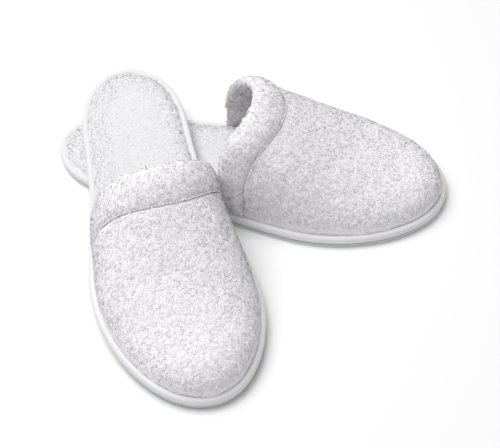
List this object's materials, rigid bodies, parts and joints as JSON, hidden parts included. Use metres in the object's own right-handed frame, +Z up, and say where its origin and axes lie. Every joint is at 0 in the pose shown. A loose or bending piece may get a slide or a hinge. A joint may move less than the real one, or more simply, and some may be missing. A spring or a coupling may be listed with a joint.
{
  "type": "spa slippers",
  "caption": "Pair of closed-toe terry slippers with padded cuffs and bound soles, one laid across the waist of the other.",
  "frame": {"origin": "centre of the pair's footprint, on the floor", "axes": "+Z up; the lower slipper's toe points along +X, the upper slipper's toe along -Y"},
  "size_m": [0.2769, 0.2725, 0.095],
  "materials": {
    "outsole_rubber": "matt moulded sheet with a fine raised texture",
    "midsole_foam": "closed-cell foam board",
    "soft_foam": "open-cell foam bonded to scrim",
    "footbed_terry": "short dense terry",
    "binding_tape": "smooth woven bias tape",
    "thread": "spun polyester thread",
    "fleece_pile": "long soft terry pile",
    "lining_terry": "short terry",
    "wadding": "polyester wadding"
  },
  "bodies": {
    "right_slipper": {"right_binding_stitching": "thread", "right_cuff_fleece": "fleece_pile", "right_cuff_stitching": "thread", "right_cuff_wadding": "wadding", "right_edge_binding": "binding_tape", "right_footbed_cover": "footbed_terry", "right_insole_padding": "soft_foam", "right_midsole": "midsole_foam", "right_outsole": "outsole_rubber", "right_upper_fleece": "fleece_pile", "right_upper_interlining": "soft_foam", "right_upper_lining": "lining_terry"},
    "left_slipper": {"left_cuff_fleece": "fleece_pile", "left_cuff_stitching": "thread", "left_cuff_wadding": "wadding", "left_front_binding_stitching": "thread", "left_front_edge_binding": "binding_tape", "left_front_footbed_cover": "footbed_terry", "left_front_insole_padding": "soft_foam", "left_front_midsole": "midsole_foam", "left_front_outsole": "outsole_rubber", "left_upper_fleece": "fleece_pile", "left_upper_interlining": "soft_foam", "left_upper_lining": "lining_terry"},
    "left_heel": {"left_heel_binding_stitching": "thread", "left_heel_edge_binding": "binding_tape", "left_heel_footbed_cover": "footbed_terry", "left_heel_insole_padding": "soft_foam", "left_heel_midsole": "midsole_foam", "left_heel_outsole": "outsole_rubber"}
  },
  "joints": [
    {"name": "left_lift_off", "type": "slide", "parent": "right_slipper", "child": "left_slipper", "axis": [0, 0, 1], "range_m": [0, 0.12]},
    {"name": "left_sole_flex", "type": "hinge", "parent": "left_slipper", "child": "left_heel", "pos_m": [-0.06894, 0.03408, 0.0254], "axis": [0.9677, 0.2521, 0], "range_deg": [0, 35], "stiffness_Nm_per_rad": 0.15}
  ]
}
